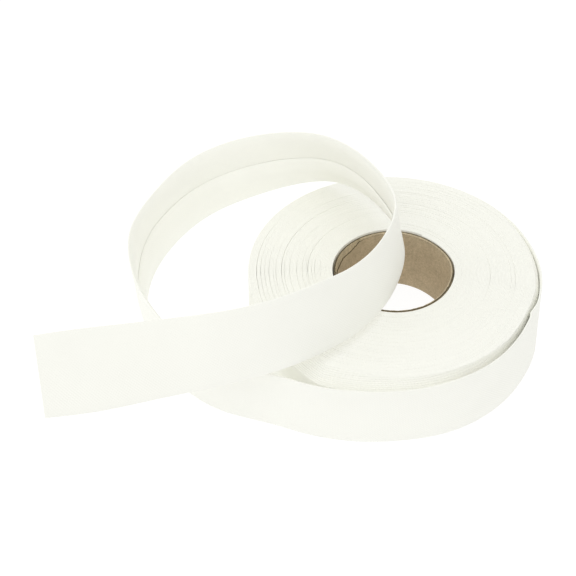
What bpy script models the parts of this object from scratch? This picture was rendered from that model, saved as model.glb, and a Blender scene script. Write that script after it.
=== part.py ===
"""Roll of single-fold bias tape, lying flat on its card core with its loose end looped over it.

All sizes are in metres. The roll's axis stands along +Z and the photo's viewer is on the -Y side.
The tape's outer turn peels off at the right, runs round the front on edge, makes one free loop that
rises over the roll's face, and ends in the air at the front left.
"""
from collections import namedtuple
from math import cos, exp, pi, radians, sin

import bmesh
import bpy
import numpy as np
from mathutils import Vector

# Tape: a bias-cut strip with both edges folded to the middle of its wrong side
TAPE_WIDTH = 0.025
CLOTH_THICK = 0.0004
LAYER_GAP = 0.0002
RAW_EDGE_GAP = 0.001
TAPE_THICK = 2 * CLOTH_THICK + LAYER_GAP
FOLD_ROUND = 0.0003

# Card core
CORE_BORE_RADIUS = 0.01975
CORE_WALL = 0.0012
CORE_RIM_DROP = 0.0002

# Wound roll, measured under its loose outer turn
ROLL_RADIUS = 0.0498
PEEL_ANGLE = 60.0
STEP_ANGLE = 1.5
OUTER_STEP = TAPE_THICK + 0.0004
RIM_ROUND = 0.0003
FACE_WAVE = 0.00015
SEAT_GAP = 0.0003

# Steps along the swept shapes
CORE_STEPS = 64
ROLL_STEPS = 84
TAPE_STEP = 0.0049
TANGENT_REACH = 0.0001
STIFF_REACH = 0.012
SHARP_ANGLE = 35.0

# Where the bore is out of round
Dent = namedtuple("Dent", "angle spread depth")
DENTS = (
    Dent(10.0, 22.0, 0.0006),
    Dent(128.0, 35.0, -0.0004),
    Dent(-75.0, 40.0, 0.0002),
)

# The roll's upper face: tight turns stand a little proud, and loose ones leave a dark line
Ring = namedtuple("Ring", "radius height")
FACE = (
    Ring(0.0256, 0.0003),
    Ring(0.0295, 0.0001),
    Ring(0.0299, -0.0005),
    Ring(0.0303, 0.0002),
    Ring(0.0346, 0.0000),
    Ring(0.0390, 0.0003),
    Ring(0.0394, -0.0005),
    Ring(0.0398, 0.0002),
    Ring(0.0438, 0.0001),
    Ring(0.0468, 0.0003),
    Ring(0.0472, -0.0004),
    Ring(0.0476, 0.0002),
)

# Route of the tape's lower edge. Lean is in degrees, positive away from the inside of the loop.
Wrap = namedtuple("Wrap", "angle radius lean")
WRAP = (
    Wrap(58.1, 0.0508, 0),
    Wrap(49.0, 0.0508, 0),
    Wrap(40.0, 0.0508, 0),
    Wrap(20.0, 0.0509, 0),
    Wrap(0.0, 0.0513, 0),
    Wrap(-15.0, 0.0521, -2),
    Wrap(-30.0, 0.0529, -3),
    Wrap(-45.0, 0.0539, -2),
    Wrap(-60.0, 0.0551, -1),
    Wrap(-75.0, 0.0561, 0),
    Wrap(-90.0, 0.0571, 1),
    Wrap(-105.0, 0.0593, 1),
    Wrap(-118.0, 0.0618, 1),
    Wrap(-130.0, 0.0650, 1),
)
Loop = namedtuple("Loop", "x y z lean width", defaults=(TAPE_WIDTH,))
LOOP = (
    Loop(-0.0585, -0.0440, 0.0000, 1),
    Loop(-0.0700, -0.0360, 0.0000, 1),
    Loop(-0.0802, -0.0225, 0.0000, 2),
    Loop(-0.0866, -0.0080, 0.0000, 5),
    Loop(-0.0884, 0.0070, 0.0000, 10),
    Loop(-0.0866, 0.0220, 0.0015, 14),
    Loop(-0.0790, 0.0360, 0.0050, 13),
    Loop(-0.0660, 0.0465, 0.0100, 13),
    Loop(-0.0500, 0.0494, 0.0166, 10),
    Loop(-0.0330, 0.0488, 0.0233, -2),
    Loop(-0.0190, 0.0437, 0.0284, -13),
    Loop(-0.0080, 0.0324, 0.0311, -15),
    Loop(0.0005, 0.0180, 0.0320, -13.5),
    Loop(0.0042, 0.0020, 0.0310, -9.5),
    Loop(0.0010, -0.0112, 0.0282, -9),
    Loop(-0.0070, -0.0245, 0.0267, -11),
    Loop(-0.0135, -0.0315, 0.0256, -14),
    Loop(-0.0205, -0.0384, 0.0266, -17),
    Loop(-0.0370, -0.0498, 0.0279, -20),
    Loop(-0.0570, -0.0571, 0.0274, -26),
    Loop(-0.0800, -0.0620, 0.0254, -38, 0.0258),
    Loop(-0.1000, -0.0665, 0.0243, -43, 0.0272),
    Loop(-0.1140, -0.0690, 0.0246, -44, 0.0266),
)


def new_material(name, colour, roughness):
    """A plain Principled material in linear colour."""
    material = bpy.data.materials.new(name)
    material.use_nodes = True
    shader = material.node_tree.nodes["Principled BSDF"]
    shader.inputs["Base Color"].default_value = (*colour, 1.0)
    shader.inputs["Roughness"].default_value = roughness
    shader.inputs["Metallic"].default_value = 0.0
    return material


def new_object(name, bm, material, parent):
    """Turn a bmesh into an object under the part's empty."""
    bmesh.ops.recalc_face_normals(bm, faces=bm.faces)
    mesh = bpy.data.meshes.new(name)
    bm.to_mesh(mesh)
    bm.free()
    mesh.materials.append(material)
    piece = bpy.data.objects.new(name, mesh)
    bpy.context.collection.objects.link(piece)
    piece.parent = parent
    mesh.shade_smooth()
    mesh.set_sharp_from_angle(angle=radians(SHARP_ANGLE))
    return piece


def extrude_ring(bm, ring):
    """Extrude a closed ring of vertices and return the new ring in the same order."""
    edges = [bm.edges.get((a, b)) for a, b in zip(ring, ring[1:] + ring[:1])]
    made = set(bmesh.ops.extrude_edge_only(bm, edges=edges)["geom"])
    return [next(e.other_vert(v) for e in v.link_edges if e.other_vert(v) in made) for v in ring]


def first_ring(bm, points):
    """A closed ring of vertices and edges to extrude from."""
    ring = [bm.verts.new(p) for p in points]
    for a, b in zip(ring, ring[1:] + ring[:1]):
        bm.edges.new((a, b))
    return ring


def out_of_round(angle):
    """How far the bore's wall stands out at an angle in degrees."""
    total = 0.0
    for dent in DENTS:
        away = (angle - dent.angle + 180.0) % 360.0 - 180.0
        total += dent.depth * exp(-(away / dent.spread) ** 2)
    return total


def turned(angles, profile_at):
    """A ring-shaped solid: profile_at(angle) gives the closed profile as (radius, height) pairs."""
    bm = bmesh.new()
    rings = []
    for angle in angles:
        c, s = cos(radians(angle)), sin(radians(angle))
        points = [Vector((r * c, r * s, z)) for r, z in profile_at(angle)]
        if not rings:
            rings.append(first_ring(bm, points))
            continue
        rings.append(extrude_ring(bm, rings[-1]))
        for vertex, point in zip(rings[-1], points):
            vertex.co = point
    ends = []
    for ring in (rings[0], rings[-1]):
        ends += [bm.edges.get((a, b)) for a, b in zip(ring, ring[1:] + ring[:1])]
    bmesh.ops.bridge_loops(bm, edges=ends)
    return bm


def make_card_core(material, parent):
    """The card tube in the roll's bore."""
    def profile(angle):
        bore = CORE_BORE_RADIUS + out_of_round(angle)
        outer = bore + CORE_WALL
        top = TAPE_WIDTH - CORE_RIM_DROP
        return ((bore, 0.0), (outer, 0.0), (outer, top), (bore, top))

    angles = [360.0 * i / CORE_STEPS for i in range(CORE_STEPS)]
    return new_object("card_core", turned(angles, profile), material, parent)


def roll_outer_radius(angle):
    """The outer turn's radius: it steps out at the peel and winds in by that step over one turn."""
    turn = (angle - PEEL_ANGLE) % 360.0
    if turn > 360.0 - STEP_ANGLE:
        return ROLL_RADIUS
    return ROLL_RADIUS + OUTER_STEP * (1.0 - turn / (360.0 - STEP_ANGLE))


def make_wound_roll(material, parent):
    """The wound turns as one solid, with the upper face's main ridges and dark lines."""
    def profile(angle):
        bore = CORE_BORE_RADIUS + CORE_WALL + SEAT_GAP + out_of_round(angle)
        outer = roll_outer_radius(angle)
        spread = ROLL_RADIUS - CORE_BORE_RADIUS
        points = [(bore, 0.0), (outer - RIM_ROUND, 0.0), (outer, RIM_ROUND)]
        points += [(outer, TAPE_WIDTH - RIM_ROUND), (outer - RIM_ROUND, TAPE_WIDTH)]
        for ring in reversed(FACE):
            fade = (ROLL_RADIUS - ring.radius) / spread
            radius = ring.radius + out_of_round(angle) * fade
            wave = FACE_WAVE * sin(radians(2.0 * angle) + ring.radius / ROLL_RADIUS * 2.0 * pi)
            points.append((radius, TAPE_WIDTH + ring.height + wave))
        points.append((bore, TAPE_WIDTH))
        return points

    step = (360.0 - STEP_ANGLE) / (ROLL_STEPS - 1)
    angles = [PEEL_ANGLE + step * i for i in range(ROLL_STEPS)]
    return new_object("wound_roll", turned(angles, profile), material, parent)


def smooth_curve(knots, values):
    """A natural cubic spline through rows of values at rising knots."""
    n = len(knots)
    gaps = np.diff(knots)
    slopes = np.diff(values, axis=0) / gaps[:, None]
    matrix = np.eye(n)
    right = np.zeros_like(values)
    for i in range(1, n - 1):
        matrix[i, i - 1:i + 2] = gaps[i - 1], 2.0 * (gaps[i - 1] + gaps[i]), gaps[i]
        right[i] = 6.0 * (slopes[i] - slopes[i - 1])
    bends = np.linalg.solve(matrix, right)

    def curve(at):
        i = int(np.clip(np.searchsorted(knots, at, side="right") - 1, 0, n - 2))
        done, left, gap = at - knots[i], knots[i + 1] - at, gaps[i]
        bent = (bends[i] * left ** 3 + bends[i + 1] * done ** 3) / (6.0 * gap)
        straight = values[i] * left / gap + values[i + 1] * done / gap
        sag = (bends[i] * left + bends[i + 1] * done) * gap / 6.0
        return bent + straight - sag

    return curve


def tape_route():
    """The tape's lower edge as one smooth curve of x, y, z, lean and width, and its length."""
    rows = []
    for wrap in WRAP:
        angle = radians(wrap.angle)
        rows.append((wrap.radius * cos(angle), wrap.radius * sin(angle), 0.0, wrap.lean, TAPE_WIDTH))
    rows += [tuple(loop) for loop in LOOP]
    rows = np.array(rows, dtype=float)
    steps = np.linalg.norm(np.diff(rows[:, :3], axis=0), axis=1)
    knots = np.concatenate(([0.0], np.cumsum(steps)))
    return smooth_curve(knots, rows), knots[-1]


def tape_section():
    """The folded strip's section as (across, out) pairs, with the flaps on the inner side."""
    outer, inner = TAPE_THICK / 2, -TAPE_THICK / 2
    lining, flap = outer - CLOTH_THICK, inner + CLOTH_THICK
    low_raw = (TAPE_WIDTH - RAW_EDGE_GAP) / 2
    high_raw = (TAPE_WIDTH + RAW_EDGE_GAP) / 2
    low_rim, high_rim = FOLD_ROUND, TAPE_WIDTH - FOLD_ROUND
    low_fold, high_fold = FOLD_ROUND + CLOTH_THICK, TAPE_WIDTH - FOLD_ROUND - CLOTH_THICK
    return (
        (low_rim, outer), (low_raw, outer), (high_raw, outer), (high_rim, outer), (TAPE_WIDTH, 0.0),
        (high_rim, inner), (high_raw, inner), (high_raw, flap), (high_fold, flap), (high_fold, lining),
        (high_raw, lining), (low_raw, lining), (low_fold, lining), (low_fold, flap), (low_raw, flap),
        (low_raw, inner), (low_rim, inner), (0.0, 0.0),
    )


def heading(curve, at, length, reach):
    """The route's direction, taken over a reach to either side."""
    ahead = curve(min(at + reach, length))[:3]
    behind = curve(max(at - reach, 0.0))[:3]
    return Vector(ahead - behind).normalized()


def tape_frame(curve, at, length):
    """The lower edge's point, the way across the tape and the way out of its outer face."""
    row = curve(at)
    lean = radians(row[3])
    smooth = heading(curve, at, length, STIFF_REACH)
    out = Vector((0.0, 0.0, 1.0)).cross(smooth).normalized()
    across = smooth.cross(out) * cos(lean) + out * sin(lean)
    face = across.cross(heading(curve, at, length, TANGENT_REACH)).normalized()
    point = Vector((row[0], row[1], max(row[2], 0.0)))
    return point, across * (row[4] / TAPE_WIDTH), face


def split_evenly(bm, old, new, section):
    """Cut the new side faces along one diagonal, so that the layers stay parallel where they twist."""
    count = len(section)
    for k in range(count):
        j = (k + 1) % count
        rising = section[j][0] >= section[k][0]
        start, end = (old[k], new[j]) if rising else (old[j], new[k])
        face = next(f for f in old[k].link_faces if old[j] in f.verts and new[k] in f.verts)
        bmesh.utils.face_split(face, start, end)


def make_loose_end(material, parent):
    """The loose outer turn, the free loop and the free end as one folded sheet."""
    curve, length = tape_route()
    section = tape_section()
    count = round(length / TAPE_STEP)
    bm = bmesh.new()
    ring = None
    first = None
    for i in range(count + 1):
        point, across, out = tape_frame(curve, length * i / count, length)
        places = [point + across * u + out * v for u, v in section]
        if ring is None:
            ring = first = first_ring(bm, places)
            continue
        new = extrude_ring(bm, ring)
        for vertex, place in zip(new, places):
            vertex.co = place
        split_evenly(bm, ring, new, section)
        ring = new
    bm.faces.new(first)
    bm.faces.new(ring)
    return new_object("loose_end", bm, material, parent)


def centre_on_floor(root, pieces):
    """Put the middle of the whole part's box over the origin."""
    corners = [v.co for piece in pieces for v in piece.data.vertices]
    for axis in (0, 1):
        low, high = min(c[axis] for c in corners), max(c[axis] for c in corners)
        root.location[axis] = -(low + high) / 2


def main():
    for old in list(bpy.data.objects):
        bpy.data.objects.remove(old, do_unlink=True)
    root = bpy.data.objects.new("bias_tape_roll", None)
    bpy.context.collection.objects.link(root)
    card = new_material("grey-brown board", (0.27, 0.20, 0.13), 0.9)
    cotton = new_material("off-white cotton tape", (0.80, 0.79, 0.70), 0.85)
    pieces = [make_card_core(card, root), make_wound_roll(cotton, root), make_loose_end(cotton, root)]
    centre_on_floor(root, pieces)
    bpy.context.view_layer.update()


main()
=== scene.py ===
"""Roll of single-fold bias tape on its card tube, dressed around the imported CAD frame.

The file is laid out as an add-on and is run as a script. Sizes are in metres. The CAD gives every
piece its place: the roll's axis stands at ROLL_AXIS and the floor is at Z 0.
"""
from collections import namedtuple
from math import atan2, ceil, cos, degrees, exp, pi, radians, sin

import bmesh
import bpy
import numpy as np
from bpy.props import FloatProperty, FloatVectorProperty, IntProperty, PointerProperty
from mathutils import Matrix, Vector, noise


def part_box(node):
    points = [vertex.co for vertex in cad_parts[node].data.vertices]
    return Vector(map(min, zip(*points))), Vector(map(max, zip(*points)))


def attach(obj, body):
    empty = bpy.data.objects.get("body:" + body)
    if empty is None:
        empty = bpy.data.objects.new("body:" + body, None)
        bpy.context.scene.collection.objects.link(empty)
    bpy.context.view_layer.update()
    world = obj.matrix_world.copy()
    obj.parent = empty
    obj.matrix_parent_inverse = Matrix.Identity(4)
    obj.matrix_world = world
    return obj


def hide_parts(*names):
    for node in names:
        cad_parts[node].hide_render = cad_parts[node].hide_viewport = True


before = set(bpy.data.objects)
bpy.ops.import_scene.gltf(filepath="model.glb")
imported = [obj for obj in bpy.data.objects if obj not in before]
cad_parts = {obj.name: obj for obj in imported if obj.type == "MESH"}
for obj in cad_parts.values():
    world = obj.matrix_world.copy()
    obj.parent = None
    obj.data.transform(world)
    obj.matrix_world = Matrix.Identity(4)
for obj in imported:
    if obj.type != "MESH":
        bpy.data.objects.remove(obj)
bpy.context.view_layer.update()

bl_info = {
    "name": "Roll of bias tape",
    "version": (1, 0, 0),
    "blender": (4, 5, 0),
    "location": "3D View > Sidebar > Bias tape",
    "description": "A wound roll of bias tape with its loose folded end, card tube and studio stage",
    "category": "Add Mesh",
}

# Where the CAD has the roll's axis, and the angle at which the outer turn leaves the roll
ROLL_AXIS = Vector((0.032445, 0.007779, 0.0))
PEEL_ANGLE = 58.1
TAPE_WIDTH = 0.025
# Patterns are laid out in millimetres
MM = 1000.0

# Where the bore is out of round, as in the CAD
Dent = namedtuple("Dent", "angle spread depth")
DENTS = (
    Dent(10.0, 22.0, 0.0006),
    Dent(128.0, 35.0, -0.0004),
    Dent(-75.0, 40.0, 0.0002),
)
# Where the card's inner ply is torn off further below the rim
TEARS = (
    Dent(176.0, 26.0, 0.0046),
    Dent(140.0, 14.0, 0.0022),
)

# Route of the tape's lower edge, from the roll's axis. It is the CAD's to within 1 mm, apart from the
# stretch that comes down over the roll's front, which lies up to 4 mm from it, higher and nearer to
# the camera. Lean is in degrees, positive away from the loop's inside.
Wrap = namedtuple("Wrap", "angle radius lean")
WRAP = (
    Wrap(PEEL_ANGLE, 0.0508, 0),
    Wrap(49.0, 0.0508, 0),
    Wrap(40.0, 0.0508, 0),
    Wrap(20.0, 0.0509, 0),
    Wrap(0.0, 0.0515, 0),
    Wrap(-15.0, 0.0524, -2),
    Wrap(-30.0, 0.0529, -3),
    Wrap(-45.0, 0.0539, -2),
    Wrap(-60.0, 0.0551, -1),
    Wrap(-75.0, 0.0561, 0),
    Wrap(-90.0, 0.0571, 1),
    Wrap(-105.0, 0.0593, 1),
    Wrap(-118.0, 0.0618, 1),
    Wrap(-130.0, 0.0650, 1),
)
Loop = namedtuple("Loop", "x y z lean width", defaults=(TAPE_WIDTH,))
LOOP = (
    Loop(-0.0585, -0.0440, 0.0000, 1),
    Loop(-0.0700, -0.0360, 0.0000, 1),
    Loop(-0.0802, -0.0225, 0.0000, 2),
    Loop(-0.0866, -0.0080, 0.0000, 5),
    Loop(-0.0884, 0.0070, 0.0000, 10),
    Loop(-0.0866, 0.0220, 0.0015, 14),
    Loop(-0.0790, 0.0360, 0.0050, 13),
    Loop(-0.0660, 0.0465, 0.0100, 13),
    Loop(-0.0500, 0.0494, 0.0166, 10),
    Loop(-0.0330, 0.0488, 0.0233, -2),
    Loop(-0.0190, 0.0437, 0.0284, -13),
    Loop(-0.0080, 0.0324, 0.0311, -15),
    Loop(0.0000, 0.0180, 0.0320, -13.5),
    Loop(0.0036, 0.0020, 0.0310, -9.5),
    Loop(0.0003, -0.0119, 0.0289, -9),
    Loop(-0.0071, -0.0265, 0.0287, -11),
    Loop(-0.0136, -0.0343, 0.0284, -14),
    Loop(-0.0206, -0.0410, 0.0292, -17),
    Loop(-0.0370, -0.0513, 0.0294, -20),
    Loop(-0.0570, -0.0574, 0.0277, -26),
    Loop(-0.0800, -0.0620, 0.0254, -38, 0.0258),
    Loop(-0.1000, -0.0665, 0.0243, -43, 0.0272),
    Loop(-0.1140, -0.0690, 0.0246, -44, 0.0266),
)
# How far to either side the route's direction is taken, for the tape's lean and for its face
STIFF_REACH = 0.012
TANGENT_REACH = 0.0001

# How the folded section relaxes along the tape: where the lower flap's raw edge lies, how far each
# flap puffs up, how far the whole section bows outwards in its middle, and how far the raw edge lifts
Relax = namedtuple("Relax", "at seam low_puff high_puff bow lip")
RELAXED = (
    Relax(0.000, 0.0129, 0.0000, 0.0000, 0.0000, 0.00000),
    Relax(0.025, 0.0129, 0.0000, 0.0001, 0.0000, 0.00000),
    Relax(0.050, 0.0129, 0.0001, 0.0002, 0.0000, 0.00000),
    Relax(0.075, 0.0129, 0.0002, 0.0003, 0.0000, 0.00000),
    Relax(0.110, 0.0129, 0.0002, 0.0003, 0.0000, 0.00000),
    Relax(0.150, 0.0129, 0.0003, 0.0004, 0.0000, 0.00000),
    Relax(0.185, 0.0129, 0.0005, 0.0007, 0.0001, 0.00000),
    Relax(0.215, 0.0129, 0.0009, 0.0008, 0.0003, 0.00000),
    Relax(0.245, 0.0127, 0.0014, 0.0010, 0.0005, 0.00000),
    Relax(0.268, 0.0118, 0.0016, 0.0010, 0.0006, 0.00000),
    Relax(0.285, 0.0139, 0.0018, 0.0010, 0.0006, 0.00000),
    Relax(0.298, 0.0137, 0.0019, 0.0010, 0.0006, 0.00000),
    Relax(0.309, 0.0133, 0.0018, 0.0010, 0.0006, 0.00000),
    Relax(0.325, 0.0129, 0.0017, 0.0009, 0.0005, 0.00000),
    Relax(0.339, 0.0126, 0.0015, 0.0008, 0.0004, 0.00000),
    Relax(0.350, 0.0122, 0.0014, 0.0008, 0.0003, 0.00000),
    Relax(0.365, 0.0119, 0.0013, 0.0009, 0.0002, 0.00000),
    Relax(0.373, 0.0115, 0.0013, 0.0010, 0.0001, 0.00000),
    Relax(0.380, 0.0109, 0.0013, 0.0010, 0.0000, 0.00000),
    Relax(0.388, 0.0096, 0.0013, 0.0010, -0.0003, 0.00004),
    Relax(0.396, 0.0088, 0.0012, 0.0009, -0.0004, 0.00004),
    Relax(0.410, 0.0110, 0.0006, 0.0005, -0.0001, 0.00005),
    Relax(0.430, 0.0129, 0.0002, 0.0002, 0.0001, 0.00005),
    Relax(0.530, 0.0129, 0.0001, 0.0001, 0.0000, 0.00005),
    Relax(0.560, 0.0129, 0.0003, 0.0003, 0.0000, 0.00030),
)
# The spread of that bow, as a share of the tape's width
BOW_SPREAD = 0.22

# Rows of the folded section: shares of the way from a fold to its raw edge, closest at the seam,
# angles round a fold, and how many there are from fold to fold
FLAP_SHARES = (0.0, 0.08, 0.2, 0.35, 0.5, 0.65, 0.76, 0.85, 0.91, 0.94, 0.97, 1.0)
FOLD_ANGLES = (35, 65, 90, 115, 145)
FACE_ROWS = 13
# Between these shares the lower flap rises to lie on the upper one. It comes to rest less than one
# cloth's thickness above it, because the raw edges thin out.
SEAM_RISE = (0.76, 0.94)
SEAM_LIFT = 0.8
# How thin a raw edge gets, as a share of the cloth's thickness, and over what width
FRAYED = 0.3
FRAY_WIDTH = 0.0009
# Length of tape over which the slant of the cut end comes in
CUT_REACH = 0.04

# The outer turn's upper edge is kinked: the angles where that starts, is deepest and ends, how far
# the edge comes in, what share of that is left just past the deepest place, above what share of the
# width it acts, and how far from the roll's middle it can lie
KINK_START, KINK_ANGLE, KINK_END = -15.0, -25.5, -40.0
KINK_DEPTH = 0.0009
KINK_STEP = 0.35
KINK_ABOVE = 0.45
KINK_RADIUS = 0.06

# How the roll's rim loosens, clockwise from where the tape leaves it: how far the outermost turn has
# moved out (in, below 0), the radius up to which the turns' edges lie level, and how far the
# outermost one has sunk
Rim = namedtuple("Rim", "angle out level sunk")
RIM = (
    Rim(PEEL_ANGLE, 0.0, 0.0507, 0.0),
    Rim(40.0, 0.0, 0.0500, 0.0),
    Rim(28.0, 0.0, 0.0494, 0.0004),
    Rim(10.0, 0.0, 0.0493, 0.0009),
    Rim(0.0, 0.00010, 0.0494, 0.0011),
    Rim(-12.0, 0.00035, 0.0495, 0.0018),
    Rim(-25.0, -0.00010, 0.0493, 0.0044),
    Rim(-35.0, 0.00040, 0.0497, 0.0054),
    Rim(-42.0, 0.0011, 0.0501, 0.0056),
    Rim(-50.0, 0.0022, 0.0505, 0.0054),
    Rim(-60.0, 0.0030, 0.0507, 0.0052),
    Rim(-75.0, 0.0040, 0.0511, 0.0042),
    Rim(-90.0, 0.0048, 0.0512, 0.0030),
    Rim(-105.0, 0.0060, 0.0512, 0.0034),
    Rim(-118.0, 0.0070, 0.0512, 0.0040),
    Rim(-130.0, 0.0046, 0.0510, 0.0036),
    Rim(-147.0, 0.0012, 0.0508, 0.0010),
    Rim(-170.0, 0.0, 0.0507, 0.0),
    Rim(PEEL_ANGLE - 360.0, 0.0, 0.0507, 0.0),
)
# How far inwards other turns move out with it, as a share of the way to the bore
RIM_REACH = 0.7
# Where the free tape comes off the roll's face, and over what spread it has ruffled the turns
RUFFLED_ANGLE = -142.0
RUFFLED_SPREAD = 20.0

# Loose places between two turns, seen as fine dark lines: where, over what angle, and how wide
Groove = namedtuple("Groove", "radius angle spread width")
GROOVES = (
    Groove(0.0478, 182.0, 36.0, 0.00010),
    Groove(0.0464, 190.0, 30.0, 0.00008),
    Groove(0.0452, 192.0, 28.0, 0.00007),
    Groove(0.0433, 188.0, 30.0, 0.00008),
    Groove(0.0422, 193.0, 24.0, 0.00005),
    Groove(0.0410, 190.0, 30.0, 0.00006),
    Groove(0.0394, 152.0, 52.0, 0.00012),
    Groove(0.0380, 191.0, 28.0, 0.00007),
    Groove(0.0365, 189.0, 28.0, 0.00007),
    Groove(0.0350, 145.0, 16.0, 0.00006),
    Groove(0.0337, 188.0, 26.0, 0.00006),
    Groove(0.0319, 186.0, 26.0, 0.00006),
    Groove(0.0307, 190.0, 20.0, 0.00005),
    Groove(0.0298, 165.0, 46.0, 0.00011),
    Groove(0.0287, 186.0, 20.0, 0.00005),
    Groove(0.0274, 184.0, 22.0, 0.00005),
    Groove(0.0256, 182.0, 22.0, 0.00004),
    Groove(0.0334, 0.0, 26.0, 0.00006),
    Groove(0.0407, 10.0, 26.0, 0.00004),
    Groove(0.0425, 10.0, 30.0, 0.00005),
    Groove(0.0485, 66.0, 30.0, 0.00012),
    Groove(0.0447, 80.0, 30.0, 0.00010),
    Groove(0.0426, 80.0, 34.0, 0.00019),
    Groove(0.0405, 80.0, 28.0, 0.00014),
    Groove(0.0384, 78.0, 28.0, 0.00010),
    Groove(0.0363, 76.0, 32.0, 0.00017),
    Groove(0.0339, 74.0, 28.0, 0.00012),
    Groove(0.0323, 72.0, 28.0, 0.00012),
    Groove(0.0472, 68.0, 24.0, 0.00010),
    Groove(0.0458, 76.0, 26.0, 0.00010),
    Groove(0.0415, 78.0, 26.0, 0.00012),
    Groove(0.0395, 82.0, 24.0, 0.00009),
    Groove(0.0373, 76.0, 24.0, 0.00010),
    Groove(0.0351, 72.0, 24.0, 0.00010),
    Groove(0.0310, 70.0, 24.0, 0.00009),
    Groove(0.0250, 64.0, 32.0, 0.00012),
    Groove(0.0234, 50.0, 36.0, 0.00008),
)
# How far such a place lowers and draws in these corners of the turn inside it, as shares of its width
SLACK_SHARES = {3: (1.0, 1.0), 4: (0.2, 0.7)}

# A corner of a section that is swept round the roll's axis
Corner = namedtuple("Corner", "radius height")

# Pairs of the card tube's corners with a face of a cut or torn edge, or of the bared ply, between. The
# cut and torn faces take the dark cut-edge brown, which also carries painted shade.
CUT_AND_SHADE_FACES = {0, 1}, {1, 2}, {3, 4}, {4, 5}, {7, 8}
BARED_FACES = {5, 6}, {6, 7}


def linear(colour):
    """An sRGB hex colour as linear red, green and blue."""
    shares = [int(colour[i:i + 2], 16) / 255.0 for i in (1, 3, 5)]
    return tuple(s / 12.92 if s <= 0.04045 else ((s + 0.055) / 1.055) ** 2.4 for s in shares)


class TapeSettings(bpy.types.PropertyGroup):
    """Sizes and colour of the folded tape."""
    cloth: FloatProperty(
        name="Cloth", description="Thickness of one layer of the cloth",
        default=0.00028, min=0.0001, max=0.0004, unit="LENGTH", precision=5)
    layer_gap: FloatProperty(
        name="Layer gap", description="Air between the lining and a folded edge",
        default=0.0001, min=0.0, max=0.0002, unit="LENGTH", precision=5)
    overlap: FloatProperty(
        name="Overlap", description="How far the lower flap's raw edge lies over the upper one's",
        default=0.0010, min=0.0, max=0.004, unit="LENGTH", precision=5)
    slant: FloatProperty(
        name="Cut slant", description="How much longer the tape is at its upper edge, at the cut end",
        default=0.0011, min=0.0, max=0.003, unit="LENGTH", precision=5)
    pucker: FloatProperty(
        name="Pucker", description="Height of the soft unevenness that pressing leaves",
        default=0.00012, min=0.0, max=0.0004, unit="LENGTH", precision=5)
    step: FloatProperty(
        name="Step", description="Length of tape between two rows of the mesh",
        default=0.0019, min=0.001, max=0.01, unit="LENGTH", precision=5)
    thread: FloatProperty(
        name="Thread", description="Thread spacing as drawn, in millimetres",
        default=0.75, min=0.2, max=2.0)
    colour: FloatVectorProperty(
        name="Cloth colour", description="Off-white of the cotton",
        subtype="COLOR", size=3, min=0.0, max=1.0, default=linear("#FBFBF4"))


class RollSettings(bpy.types.PropertyGroup):
    """Sizes of the wound turns."""
    first: FloatProperty(
        name="First turn", description="Radius of the middle of the innermost turn",
        default=0.02125, min=0.01, max=0.04, unit="LENGTH", precision=5)
    last: FloatProperty(
        name="Last turn", description="Radius of the middle of the turn where the tape leaves the roll",
        default=0.0507, min=0.03, max=0.1, unit="LENGTH", precision=5)
    pitch: FloatProperty(
        name="Pitch", description="Radius that each drawn turn adds",
        default=0.00048, min=0.0003, max=0.002, unit="LENGTH", precision=5)
    fill: FloatProperty(
        name="Fill", description="Share of the pitch that the folded tape takes up",
        default=0.97, min=0.5, max=0.98, subtype="FACTOR")
    uneven: FloatProperty(
        name="Uneven edges", description="How far one turn's edge stands above or below the next",
        default=0.00005, min=0.0, max=0.0006, unit="LENGTH", precision=5)
    ruffled: FloatProperty(
        name="Ruffled edges",
        description="How much more so where the free tape comes off the roll's face",
        default=0.00045, min=0.0, max=0.002, unit="LENGTH", precision=5)
    steps: IntProperty(
        name="Steps", description="Segments in one turn", default=168, min=48, max=180)


class CardSettings(bpy.types.PropertyGroup):
    """Sizes and colours of the card tube."""
    bore: FloatProperty(
        name="Bore radius", description="Inner radius of the tube",
        default=0.01975, min=0.01, max=0.04, unit="LENGTH", precision=5)
    wall: FloatProperty(
        name="Wall", description="Thickness of the tube's wall",
        default=0.0010, min=0.0005, max=0.004, unit="LENGTH", precision=5)
    ply: FloatProperty(
        name="Inner ply", description="Thickness of the inner ply, torn away near the rim",
        default=0.00030, min=0.0001, max=0.0005, unit="LENGTH", precision=5)
    tear: FloatProperty(
        name="Torn depth", description="How far below the rim the inner ply mostly ends",
        default=0.0005, min=0.0, max=0.005, unit="LENGTH", precision=5)
    steps: IntProperty(
        name="Steps", description="Segments round the tube", default=288, min=64, max=512)
    colour: FloatVectorProperty(
        name="Board colour", description="Brown of the unbleached board",
        subtype="COLOR", size=3, min=0.0, max=1.0, default=linear("#B9A98D"))
    bared_colour: FloatVectorProperty(
        name="Bared ply colour", description="Lighter brown where the inner ply is torn away",
        subtype="COLOR", size=3, min=0.0, max=1.0, default=linear("#BDAE92"))
    cut_edge_and_shade_colour: FloatVectorProperty(
        name="Cut rim and shade colour", description="Darker brown of the cut edge, deepened by painted shade",
        subtype="COLOR", size=3, min=0.0, max=1.0, default=linear("#5E5542"))


class StageSettings(bpy.types.PropertyGroup):
    """Floor, light and camera."""
    floor_colour: FloatVectorProperty(
        name="Floor colour", description="Grey of the unlit opal sheet",
        subtype="COLOR", size=3, min=0.0, max=1.0, default=linear("#7C7C7C"))
    table: FloatProperty(
        name="Table light", description="Strength of the light that comes up through the floor",
        default=0.88, min=0.0, max=4.0)
    sky: FloatProperty(
        name="Fill light", description="Strength of the even light from all round",
        default=0.69, min=0.0, max=4.0)
    slope: FloatProperty(
        name="Fill slope", description="How much brighter the fill light is from the left and above",
        default=0.64, min=0.0, max=1.0, subtype="FACTOR")
    key: FloatProperty(
        name="Key light", description="Power of the large softbox",
        default=0.35, min=0.0, max=100.0, unit="POWER")
    lens: FloatProperty(
        name="Lens", description="Focal length on a 36 mm sensor, in millimetres",
        default=96.83, min=20.0, max=300.0)


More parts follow.
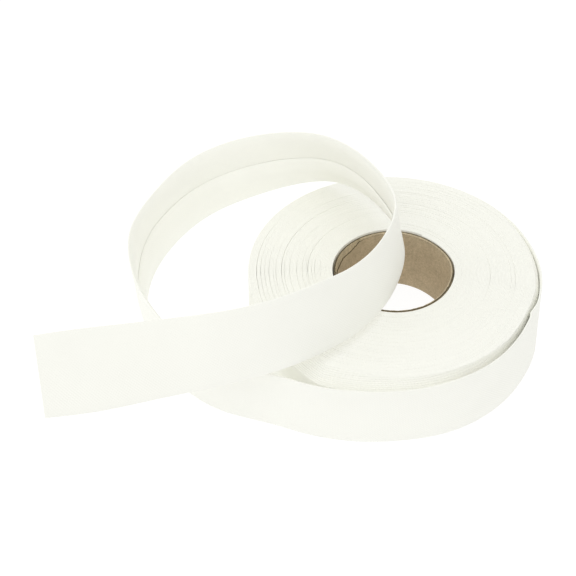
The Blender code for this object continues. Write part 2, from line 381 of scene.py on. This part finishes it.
class RollOfTape(bpy.types.PropertyGroup):
    """All settings of the roll of bias tape."""
    tape: PointerProperty(type=TapeSettings)
    roll: PointerProperty(type=RollSettings)
    card: PointerProperty(type=CardSettings)
    stage: PointerProperty(type=StageSettings)


def add_node(tree, kind, inputs=None, **settings):
    """Add a node, set its properties, and fill its inputs with values or links."""
    made = tree.nodes.new(kind)
    for name, value in settings.items():
        setattr(made, name, value)
    for name, value in (inputs or {}).items():
        if isinstance(value, bpy.types.NodeSocket):
            tree.links.new(value, made.inputs[name])
        else:
            made.inputs[name].default_value = value
    return made


def empty_material(name):
    """A material with no nodes yet."""
    material = bpy.data.materials.new(name)
    material.use_nodes = True
    material.node_tree.nodes.clear()
    return material, material.node_tree


def bleached_cotton(tape):
    """Bleached cotton lawn, plain woven, cut on the bias and pressed.

    It gives a soft, matt, slightly warm white with threads at 45 degrees to the fold, painted shade
    between the threads, a faint fuzz, and hardly any gloss.
    """
    material, tree = empty_material("Bleached cotton lawn")
    flat = add_node(tree, "ShaderNodeAttribute", attribute_name="flat_mm", attribute_type="GEOMETRY")
    # Real threads lie 0.3 mm apart, which is less than a pixel here, so they are drawn coarser. A
    # wave texture of scale 1 has 20 radians to the millimetre.
    band = 2.0 * pi / (20.0 * tape.thread)
    bias = add_node(tree, "ShaderNodeMapping", {
        "Vector": flat.outputs["Vector"], "Rotation": (0.0, 0.0, radians(45.0))})
    threads = [
        add_node(tree, "ShaderNodeTexWave", {
            "Vector": bias.outputs["Vector"], "Scale": band, "Distortion": 0.8,
            "Detail": 1.0, "Detail Scale": 0.6},
            wave_type="BANDS", bands_direction=way)
        for way in ("X", "Y")
    ]
    weave = add_node(tree, "ShaderNodeMath", {
        i: wave.outputs["Fac"] for i, wave in enumerate(threads)}, operation="MAXIMUM")
    # Fuzz of loose fibres, about half a millimetre across
    fuzz = add_node(tree, "ShaderNodeTexNoise", {
        "Vector": flat.outputs["Vector"], "Scale": 2.0, "Detail": 3.0, "Roughness": 0.6})
    # Soft pressing marks, about 14 mm across
    pressed = add_node(tree, "ShaderNodeTexNoise", {
        "Vector": flat.outputs["Vector"], "Scale": 0.07, "Detail": 2.0, "Roughness": 0.5})
    relief = add_node(tree, "ShaderNodeMath", {
        0: fuzz.outputs["Fac"], 1: 0.6, 2: weave.outputs[0]}, operation="MULTIPLY_ADD")
    bump = add_node(tree, "ShaderNodeBump", {
        "Strength": 0.35, "Distance": 0.00005, "Height": relief.outputs[0]})
    # Painted shade: where the weave is low, between the threads, the cloth's colour is made up to 1.6
    # per cent darker
    depth = add_node(tree, "ShaderNodeMapRange", {
        "Value": weave.outputs[0], "From Min": 0.2, "From Max": 1.0,
        "To Min": 0.984, "To Max": 1.0})
    patch = add_node(tree, "ShaderNodeMapRange", {
        "Value": pressed.outputs["Fac"], "From Min": 0.3, "From Max": 0.7,
        "To Min": 0.985, "To Max": 1.0})
    tone = add_node(tree, "ShaderNodeMath", {
        0: depth.outputs[0], 1: patch.outputs[0]}, operation="MULTIPLY")
    colour = add_node(tree, "ShaderNodeVectorMath", {
        0: tuple(tape.colour), "Scale": tone.outputs[0]}, operation="SCALE")
    shader = add_node(tree, "ShaderNodeBsdfPrincipled", {
        "Base Color": colour.outputs["Vector"], "Roughness": 0.9, "IOR": 1.5,
        "Specular IOR Level": 0.25, "Sheen Weight": 0.1, "Sheen Roughness": 0.6,
        "Normal": bump.outputs["Normal"]})
    add_node(tree, "ShaderNodeOutputMaterial", {"Surface": shader.outputs["BSDF"]})
    return material


def cotton(tape):
    """The one cotton of the roll and its loose end, made when it is first asked for."""
    return bpy.data.materials.get("Bleached cotton lawn") or bleached_cotton(tape)


def grey_board(card, name, colour, contrast):
    """Unbleached grey board, rolled and glued into a tube.

    It gives a dull brown with short fibres, small dark specks and no gloss.
    """
    material, tree = empty_material(name)
    place = add_node(tree, "ShaderNodeTexCoord")
    centred = add_node(tree, "ShaderNodeMapping", {
        "Vector": place.outputs["Object"], "Location": tuple(-ROLL_AXIS * MM),
        "Scale": (MM, MM, MM)})
    # Matted fibres about 0.7 mm long, and clumps of about 4 mm
    fibres = add_node(tree, "ShaderNodeTexNoise", {
        "Vector": centred.outputs["Vector"], "Scale": 1.4, "Detail": 4.0, "Roughness": 0.65})
    clumps = add_node(tree, "ShaderNodeTexNoise", {
        "Vector": centred.outputs["Vector"], "Scale": 0.26, "Detail": 3.0, "Roughness": 0.6})
    both = add_node(tree, "ShaderNodeMath", {
        0: clumps.outputs["Fac"], 1: 0.5, 2: fibres.outputs["Fac"]}, operation="MULTIPLY_ADD")
    tone = add_node(tree, "ShaderNodeMapRange", {
        "Value": both.outputs[0], "From Min": 0.5, "From Max": 1.0,
        "To Min": 1.0 - contrast, "To Max": 1.0 + contrast})
    shade = add_node(tree, "ShaderNodeVectorMath", {
        0: tuple(colour), "Scale": tone.outputs[0]}, operation="SCALE")
    bump = add_node(tree, "ShaderNodeBump", {
        "Strength": 0.5, "Distance": 0.00008, "Height": both.outputs[0]})
    shader = add_node(tree, "ShaderNodeBsdfPrincipled", {
        "Base Color": shade.outputs["Vector"], "Roughness": 0.92, "IOR": 1.5,
        "Specular IOR Level": 0.2, "Normal": bump.outputs["Normal"]})
    add_node(tree, "ShaderNodeOutputMaterial", {"Surface": shader.outputs["BSDF"]})
    return material


def opal_acrylic(stage):
    """Opal acrylic sheet of a light table, sanded matt and lit from below.

    It gives an even white floor on which shadows stay faint.
    """
    material, tree = empty_material("Opal acrylic light table")
    shader = add_node(tree, "ShaderNodeBsdfPrincipled", {
        "Base Color": (*stage.floor_colour, 1.0), "Roughness": 0.9, "IOR": 1.49,
        "Specular IOR Level": 0.0, "Emission Color": (1.0, 1.0, 1.0, 1.0),
        "Emission Strength": stage.table})
    add_node(tree, "ShaderNodeOutputMaterial", {"Surface": shader.outputs["BSDF"]})
    return material


def new_piece(name, bm, materials, sharp):
    """Turn a bmesh into an object at the origin, shaded smooth apart from its sharp edges."""
    bmesh.ops.recalc_face_normals(bm, faces=bm.faces)
    mesh = bpy.data.meshes.new(name)
    bm.to_mesh(mesh)
    bm.free()
    for material in materials:
        mesh.materials.append(material)
    piece = bpy.data.objects.new(name, mesh)
    bpy.context.scene.collection.objects.link(piece)
    mesh.shade_smooth()
    mesh.set_sharp_from_angle(angle=radians(sharp))
    return piece


def first_ring(bm, points):
    """A closed ring of vertices and edges to sweep from."""
    ring = [bm.verts.new(p) for p in points]
    for a, b in zip(ring, ring[1:] + ring[:1]):
        bm.edges.new((a, b))
    return ring


def extrude_ring(bm, ring):
    """Extrude a closed ring of vertices and return the new ring in the same order."""
    edges = [bm.edges.get((a, b)) for a, b in zip(ring, ring[1:] + ring[:1])]
    made = set(bmesh.ops.extrude_edge_only(bm, edges=edges)["geom"])
    return [next(e.other_vert(v) for e in v.link_edges if e.other_vert(v) in made) for v in ring]


def between(value, low, high):
    """0 at low, 1 at high, held beyond them, and a soft step in between."""
    share = min(1.0, max(0.0, (value - low) / (high - low)))
    return share * share * (3.0 - 2.0 * share)


def bell(away, spread):
    """1 where away is 0, falling off softly to either side; at the spread, 0.37 is left."""
    return exp(-(away / spread) ** 2)


def swelling(places, angle):
    """The depths of all dents or tears together, at an angle in degrees."""
    return sum(
        place.depth * bell((angle - place.angle + 180.0) % 360.0 - 180.0, place.spread)
        for place in places)


def torn_depth(card, angle):
    """How far below the rim the inner ply is torn off, and what share of it, at an angle in degrees."""
    around = Vector((cos(radians(angle)), sin(radians(angle)), 0.0))
    deep = swelling(TEARS, angle)
    # Ragged in stretches of about 11 degrees and of 3, but not where the ply is hardly torn
    ragged = noise.noise(around * 5.0) * 0.0005 + noise.noise(around * 19.0) * 0.0008
    return card.tear + deep + ragged * between(deep, 0.0, 0.001), between(deep, 0.0001, 0.0010)


def row_at(table, at, way=1.0):
    """A table's row at a value of its first column, which rises (way 1) or falls (way -1)."""
    columns = list(zip(*table))
    knots = [way * knot for knot in columns[0]]
    return type(table[0])(at, *(float(np.interp(way * at, knots, column)) for column in columns[1:]))


def smooth_curve(knots, values):
    """A natural cubic spline through rows of values at rising knots."""
    n = len(knots)
    gaps = np.diff(knots)
    slopes = np.diff(values, axis=0) / gaps[:, None]
    matrix = np.eye(n)
    right = np.zeros_like(values)
    for i in range(1, n - 1):
        matrix[i, i - 1:i + 2] = gaps[i - 1], 2.0 * (gaps[i - 1] + gaps[i]), gaps[i]
        right[i] = 6.0 * (slopes[i] - slopes[i - 1])
    bends = np.linalg.solve(matrix, right)

    def curve(at):
        i = int(np.clip(np.searchsorted(knots, at, side="right") - 1, 0, n - 2))
        done, left, gap = at - knots[i], knots[i + 1] - at, gaps[i]
        bent = (bends[i] * left ** 3 + bends[i + 1] * done ** 3) / (6.0 * gap)
        straight = values[i] * left / gap + values[i + 1] * done / gap
        sag = (bends[i] * left + bends[i + 1] * done) * gap / 6.0
        return bent + straight - sag

    return curve


def tape_route():
    """The tape's lower edge as one smooth curve of x, y, z, lean and width, and where it ends.

    A place on it is the distance covered from point to point, in metres.
    """
    rows = []
    for wrap in WRAP:
        angle = radians(wrap.angle)
        rows.append((wrap.radius * cos(angle), wrap.radius * sin(angle), 0.0, wrap.lean, TAPE_WIDTH))
    rows += [tuple(loop) for loop in LOOP]
    rows = np.array(rows, dtype=float)
    steps = np.linalg.norm(np.diff(rows[:, :3], axis=0), axis=1)
    knots = np.concatenate(([0.0], np.cumsum(steps)))
    return smooth_curve(knots, rows), knots[-1]


def heading(curve, at, length, reach):
    """The route's direction, taken over a reach to either side."""
    ahead = curve(min(at + reach, length))[:3]
    behind = curve(max(at - reach, 0.0))[:3]
    return Vector(ahead - behind).normalized()


def tape_frame(curve, at, length):
    """The lower edge's point, the way along, the way across and the way out of the outer face."""
    row = curve(at)
    lean = radians(row[3])
    smooth = heading(curve, at, length, STIFF_REACH)
    out = Vector((0.0, 0.0, 1.0)).cross(smooth).normalized()
    across = smooth.cross(out) * cos(lean) + out * sin(lean)
    along = heading(curve, at, length, TANGENT_REACH)
    face = across.cross(along).normalized()
    point = Vector((row[0], row[1], max(row[2], 0.0)))
    return point, along, across * (row[4] / TAPE_WIDTH), face


def kinked_in(place, share):
    """How far the outer turn's upper edge comes in near its kink; share is 0 below and 1 above.

    The tape passes the same angles once more, where it crosses over the bore, and comes in 0.2 mm.
    """
    if place.length > KINK_RADIUS:
        return 0.0
    angle = degrees(atan2(place.y, place.x))
    if angle > KINK_ANGLE:
        depth = between(angle, KINK_START, KINK_ANGLE) ** 2
    else:
        depth = KINK_STEP * between(angle, KINK_END, KINK_ANGLE)
    return KINK_DEPTH * depth * between(share, KINK_ABOVE, 1.0)


def relaxed(at):
    """The row of RELAXED here, its puff uneven over about 14 mm and its seam over about 22 mm."""
    found = row_at(RELAXED, at)
    uneven = noise.noise(Vector((at * 70.0, 3.1, 0.0)))
    wander = noise.noise(Vector((at * 45.0, 0.0, 5.0)))
    return found._replace(
        seam=found.seam + 0.0002 * wander, low_puff=found.low_puff * (1.0 + 0.25 * uneven),
        lip=found.lip * (1.0 + uneven))


def cloth_line(tape, at):
    """The middle of the folded cloth at one place, as (across, out, distance on the flat cloth)."""
    half = (tape.cloth + tape.layer_gap) / 2.0
    edge = tape.cloth / 2.0
    width = TAPE_WIDTH - edge
    here = relaxed(at)
    hidden = here.seam - tape.overlap
    over = 1.0 - tape.overlap / (width - half - hidden)
    rest = tape.cloth * SEAM_LIFT + here.high_puff * sin(pi * over ** 0.6)
    low_flap = []
    high_flap = []
    for share in FLAP_SHARES:
        # The lower flap puffs up most near its raw edge, and the upper one near its fold
        low = half + here.low_puff * sin(pi * share ** 1.5) + here.lip * share ** 12
        low += rest * between(share, *SEAM_RISE)
        high = half + here.high_puff * sin(pi * share ** 0.6)
        low_flap.insert(0, (edge + half + (here.seam - half - edge) * share, -low))
        high_flap.append((width - half - (width - half - hidden) * share, -high))
    low_fold = [
        (edge + half - half * sin(radians(a)), -half * cos(radians(a))) for a in FOLD_ANGLES]
    face = [
        (edge + half + (width - edge - 2.0 * half) * share, half)
        for share in np.linspace(0.0, 1.0, FACE_ROWS)]
    high_fold = [(TAPE_WIDTH - u, -v) for u, v in low_fold]
    line = low_flap + low_fold + face + high_fold + high_flap
    flat = 0.0
    found = []
    for i, (u, v) in enumerate(line):
        if i:
            flat += ((u - line[i - 1][0]) ** 2 + (v - line[i - 1][1]) ** 2) ** 0.5
        # Uneven over about 18 mm along the tape and 11 mm across it
        soft = noise.noise(Vector((at * 55.0, u * 90.0, 7.0))) * tape.pucker
        soft += here.bow * bell(u / TAPE_WIDTH - 0.5, BOW_SPREAD)
        found.append((u, v + soft, flat))
    return found


def thickened(line, thick):
    """A closed section around the cloth's middle line, as (across, out, flat), right side first.

    The raw edges thin out, as loose threads do.
    """
    right, wrong = [], []
    whole = line[-1][2]
    for i, (u, v, flat) in enumerate(line):
        before, after = line[max(i - 1, 0)], line[min(i + 1, len(line) - 1)]
        along = Vector((after[0] - before[0], after[1] - before[1])).normalized()
        intact = between(min(flat, whole - flat), 0.0, FRAY_WIDTH)
        half = thick / 2.0 * (FRAYED + (1.0 - FRAYED) * intact)
        right.append((u - along.y * half, v + along.x * half, flat))
        wrong.append((u + along.y * half, v - along.x * half, flat))
    return right + wrong[::-1]


def cap_end(bm, ring):
    """Close a cut end across the cloth's thickness."""
    half = len(ring) // 2
    sides = ring[:half], ring[half:]
    bmesh.ops.bridge_loops(
        bm, edges=[bm.edges.get(pair) for side in sides for pair in zip(side, side[1:])])


def spun_sections(sections, steps):
    """Sweep closed sections one turn clockwise. Each vertex keeps its section's and corner's number."""
    bm = bmesh.new()
    section_of = bm.verts.layers.int.new("section")
    corner_of = bm.verts.layers.int.new("corner")
    flat_mm = bm.verts.layers.float_vector.new("flat_mm")
    for number, section in enumerate(sections):
        for corner, vertex in enumerate(first_ring(bm, [(r, 0.0, z) for r, z in section])):
            vertex[section_of] = number
            vertex[corner_of] = corner
    # The sweep stops a little short, so that its first and last rings can be told apart
    sweep = radians(359.9)
    bmesh.ops.spin(
        bm, geom=bm.verts[:] + bm.edges[:], cent=(0.0, 0.0, 0.0), axis=(0.0, 0.0, -1.0),
        dvec=(0.0, 0.0, 0.0), angle=sweep, steps=steps, space=Matrix.Identity(4),
        use_merge=False, use_normal_flip=False, use_duplicate=False)
    placed = []
    for vertex in bm.verts:
        turned = -atan2(vertex.co.y, vertex.co.x) % (2.0 * pi)
        share = round(turned / sweep * steps) / steps
        placed.append((vertex, vertex[section_of], vertex[corner_of], share))
    return bm, placed, flat_mm


def turn_corners(half):
    """A turn's section: corners 0 to 2 are its lower edge, 3 to 6 its upper one from the outside in."""
    foot, shoulder, crown = 0.0002, TAPE_WIDTH - 0.00007, TAPE_WIDTH - 0.00001
    return (
        Corner(-half, foot), Corner(0.0, 0.0), Corner(half, foot), Corner(half, shoulder),
        Corner(half * 0.55, crown), Corner(-half * 0.6, crown), Corner(-half, shoulder),
    )


def loose_places(roll, pitch, half):
    """Each groove after its place along the wound strip, in turns from the strip's start."""
    found = []
    for groove in GROOVES:
        share = (PEEL_ANGLE - groove.angle) % 360.0 / 360.0
        number = round((groove.radius - half - roll.first) / pitch - share)
        found.append((number + share, groove))
    return found


class BIASTAPE_OT_loose_tape(bpy.types.Operator):
    """Make the loose outer turn, the free loop and the free end as one folded sheet"""
    bl_idname = "bias_tape.loose_tape"
    bl_label = "Loose tape"

    def execute(self, context):
        tape = context.scene.bias_tape.tape
        curve, length = tape_route()
        rows = ceil(length / tape.step)
        bm = bmesh.new()
        flat_mm = bm.verts.layers.float_vector.new("flat_mm")
        ring = None
        for row in range(rows + 1):
            at = length * row / rows
            point, along, across, out = tape_frame(curve, at, length)
            cut = tape.slant * between(at, length - CUT_REACH, length)
            section = thickened(cloth_line(tape, at), tape.cloth)
            places = [
                ROLL_AXIS + point + across * u + out * (v - kinked_in(point, u / TAPE_WIDTH))
                + along * (cut * u / TAPE_WIDTH) for u, v, _ in section
            ]
            if ring is None:
                ring = first_ring(bm, places)
                cap_end(bm, ring)
            else:
                ring = extrude_ring(bm, ring)
            for vertex, place, (_, _, flat) in zip(ring, places, section):
                vertex.co = place
                vertex[flat_mm] = (at * MM, flat * MM, 0.0)
        cap_end(bm, ring)
        piece = new_piece("loose_tape", bm, [cotton(tape)], sharp=50.0)
        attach(piece, "root")
        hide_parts("loose_end")
        return {"FINISHED"}


class BIASTAPE_OT_wound_turns(bpy.types.Operator):
    """Wind the turns of the roll as one long strip round the card tube"""
    bl_idname = "bias_tape.wound_turns"
    bl_label = "Wound turns"

    def execute(self, context):
        settings = context.scene.bias_tape
        roll, card = settings.roll, settings.card
        # Real turns lie 0.33 mm apart, which is less than a pixel here, so fewer are drawn
        turns = round((roll.last - roll.first) / roll.pitch)
        pitch = (roll.last - roll.first) / turns
        half = pitch * roll.fill / 2.0
        corners = turn_corners(half)
        loose = loose_places(roll, pitch, half)
        sections = [
            [(roll.first + pitch * k + c.radius, c.height) for c in corners] for k in range(turns)]
        bm, placed, flat_mm = spun_sections(sections, roll.steps)
        for vertex, section, corner, share in placed:
            turn = section + share
            angle = PEEL_ANGLE - 360.0 * share
            at = radians(angle)
            radius = roll.first + pitch * turn + corners[corner].radius
            height = corners[corner].height
            # 0 at the last turn and 1 at the bore
            inwards = (roll.last - radius) / (roll.last - card.bore)
            rim = row_at(RIM, angle, way=-1.0)
            radius += swelling(DENTS, angle) * inwards + rim.out * between(inwards, RIM_REACH, 0.0)
            if height > TAPE_WIDTH / 2.0:
                # Uneven over about 36 degrees round the roll, and over one and a half turns outwards
                spot = Vector((cos(at) * 1.6, sin(at) * 1.6, turn * 0.7))
                ruffled = roll.ruffled * bell(angle - RUFFLED_ANGLE, RUFFLED_SPREAD)
                height += (roll.uneven + ruffled) * noise.noise(spot)
                outermost = roll.last - pitch * (1.0 - share) + rim.out
                if radius > rim.level and outermost > rim.level:
                    height -= rim.sunk * (radius - rim.level) / (outermost - rim.level)
            if corner in SLACK_SHARES:
                slack = sum(
                    groove.width * bell((turn - number) * 360.0, groove.spread)
                    for number, groove in loose if abs(turn - number) < 0.5)
                lowered, drawn_in = SLACK_SHARES[corner]
                height -= slack * lowered
                radius -= slack * drawn_in
            vertex.co = ROLL_AXIS + Vector((radius * cos(at), radius * sin(at), height))
            run = 2.0 * pi * (roll.first * turn + pitch * turn ** 2 / 2.0)
            vertex[flat_mm] = (run * MM, height * MM + corners[corner].radius * MM, 0.0)
        bmesh.ops.remove_doubles(bm, verts=bm.verts, dist=1e-6)
        bmesh.ops.holes_fill(bm, edges=[e for e in bm.edges if e.is_boundary], sides=0)
        piece = new_piece("wound_turns", bm, [cotton(settings.tape)], sharp=60.0)
        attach(piece, "root")
        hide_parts("wound_roll")
        return {"FINISHED"}


class BIASTAPE_OT_card_tube(bpy.types.Operator):
    """Make the card tube with its cut rim and torn inner ply"""
    bl_idname = "bias_tape.card_tube"
    bl_label = "Card tube"

    def execute(self, context):
        card = context.scene.bias_tape.card
        low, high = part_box("card_core")
        inner, outer, behind = card.bore, card.bore + card.wall, card.bore + card.ply
        rim = high.z
        # The cut rim's width, bevel and dip, and how far below it the bared ply and plain bore start
        cut_width, bevel, dip = 0.00050, 0.00010, 0.00004
        bared_from, plain_from = 0.00035, 0.0080
        # Corners 3 to 5 are the cut rim, 5 to 7 the bared ply, 7 and 8 the torn edge below it. The
        # rim's outer band and the torn edge are dark brown partly as painted shade: the shade of the
        # gap between tube and turns, and the shade at the torn ply's edge.
        corners = (
            Corner(inner, low.z), Corner(inner + card.wall * 0.5, low.z), Corner(outer, low.z),
            Corner(outer, rim - bevel), Corner(outer - bevel, rim),
            Corner(outer - cut_width, rim - dip), Corner(behind, rim - bared_from),
            Corner(behind, rim), Corner(inner, rim - dip), Corner(inner, rim - plain_from),
        )
        bm, placed, _ = spun_sections([corners], card.steps)
        for vertex, _, corner, share in placed:
            angle = PEEL_ANGLE - 360.0 * share
            at = radians(angle)
            around = Vector((cos(at), sin(at), 0.0))
            radius = corners[corner].radius + swelling(DENTS, angle)
            height = corners[corner].height
            depth, torn = torn_depth(card, angle)
            if corner in (7, 8):
                height -= depth
            if corner in (6, 7):
                radius -= card.ply * 0.9 * (1.0 - torn) - noise.noise(around * 30.0) * 0.00005
            if corner == 6:
                height += noise.noise(around * 14.0 + Vector((0, 0, 4.0))) * 0.00025
            if corner == 5:
                radius += noise.noise(around * 24.0 + Vector((0, 0, 9.0))) * 0.00015
            vertex.co = ROLL_AXIS + Vector((radius * cos(at), radius * sin(at), height))
        bmesh.ops.remove_doubles(bm, verts=bm.verts, dist=1e-6)
        corner_of = bm.verts.layers.int["corner"]
        for face in bm.faces:
            pair = {vertex[corner_of] for vertex in face.verts}
            # Cut and torn faces get the dark brown, with its painted shade
            if pair in CUT_AND_SHADE_FACES:
                face.material_index = 1
            elif pair in BARED_FACES:
                face.material_index = 2
        board = grey_board(card, "Grey board", card.colour, 0.22)
        # The cut edge's own darker brown, deepened to stand for the shade at the rim's outer edge and
        # at the torn ply's edge: painted shade
        cut = grey_board(card, "Cut edge of grey board with painted shade", card.cut_edge_and_shade_colour, 0.2)
        bared = grey_board(card, "Bared ply of grey board", card.bared_colour, 0.3)
        piece = new_piece("card_tube", bm, [board, cut, bared], sharp=40.0)
        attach(piece, "root")
        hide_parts("card_core")
        return {"FINISHED"}


class BIASTAPE_OT_stage(bpy.types.Operator):
    """Set up the white floor, the studio light and the camera"""
    bl_idname = "bias_tape.stage"
    bl_label = "Stage"

    def execute(self, context):
        stage = context.scene.bias_tape.stage
        scene = context.scene
        scene.view_settings.view_transform = "Standard"
        bm = bmesh.new()
        bmesh.ops.create_circle(bm, cap_ends=True, segments=64, radius=3.0)
        floor = new_piece("floor", bm, [opal_acrylic(stage)], sharp=30.0)
        world = bpy.data.worlds.new("Studio")
        world.use_nodes = True
        tree = world.node_tree
        tree.nodes.clear()
        # Most of the fill comes from above, and a little more from the left than from the right
        way = add_node(tree, "ShaderNodeTexCoord")
        side = add_node(tree, "ShaderNodeVectorMath", {
            0: way.outputs["Generated"], 1: Vector((-0.14, -0.02, 0.5)).normalized()},
            operation="DOT_PRODUCT")
        strength = add_node(tree, "ShaderNodeMath", {
            0: side.outputs["Value"], 1: stage.sky * stage.slope, 2: stage.sky},
            operation="MULTIPLY_ADD")
        light = add_node(tree, "ShaderNodeBackground", {
            "Color": (1.0, 1.0, 0.988, 1.0), "Strength": strength.outputs[0]})
        add_node(tree, "ShaderNodeOutputWorld", {"Surface": light.outputs["Background"]})
        scene.world = world
        softbox = bpy.data.lights.new("Softbox", "AREA")
        softbox.shape = "DISK"
        softbox.size = 0.5
        softbox.energy = stage.key
        lamp = bpy.data.objects.new("Softbox", softbox)
        lamp.location = (-0.24, -0.20, 0.75)
        lamp.rotation_euler = (-lamp.location).to_track_quat("-Z", "Y").to_euler()
        scene.collection.objects.link(lamp)
        lens = bpy.data.cameras.new("Camera")
        lens.lens = stage.lens
        lens.sensor_width = 36.0
        lens.clip_start = 0.01
        camera = bpy.data.objects.new("Camera", lens)
        camera.location = (-0.00436, -0.38929, 0.39399)
        camera.rotation_euler = (radians(46.415), 0.0, 0.0)
        scene.collection.objects.link(camera)
        scene.camera = camera
        return {"FINISHED"}


class BIASTAPE_PT_roll(bpy.types.Panel):
    """Panel in the sidebar with the settings and the pieces"""
    bl_idname = "BIASTAPE_PT_roll"
    bl_label = "Roll of bias tape"
    bl_space_type = "VIEW_3D"
    bl_region_type = "UI"
    bl_category = "Bias tape"

    def draw(self, context):
        settings = context.scene.bias_tape
        for name, operator in STEPS:
            box = self.layout.box()
            group = getattr(settings, name)
            for prop in group.__annotations__:
                box.prop(group, prop)
            box.operator(operator)


# Each operator, after the settings that it reads
STEPS = (
    ("stage", "bias_tape.stage"),
    ("card", "bias_tape.card_tube"),
    ("roll", "bias_tape.wound_turns"),
    ("tape", "bias_tape.loose_tape"),
)
CLASSES = (
    TapeSettings,
    RollSettings,
    CardSettings,
    StageSettings,
    RollOfTape,
    BIASTAPE_OT_stage,
    BIASTAPE_OT_card_tube,
    BIASTAPE_OT_wound_turns,
    BIASTAPE_OT_loose_tape,
    BIASTAPE_PT_roll,
)


def register():
    """Register the classes and the settings."""
    for cls in CLASSES:
        bpy.utils.register_class(cls)
    bpy.types.Scene.bias_tape = PointerProperty(type=RollOfTape)


def unregister():
    """Take the settings and the classes out again."""
    del bpy.types.Scene.bias_tape
    for cls in reversed(CLASSES):
        bpy.utils.unregister_class(cls)


def main():
    register()
    bpy.ops.bias_tape.stage()
    bpy.ops.bias_tape.card_tube()
    bpy.ops.bias_tape.wound_turns()
    bpy.ops.bias_tape.loose_tape()


if __name__ == "__main__":
    main()
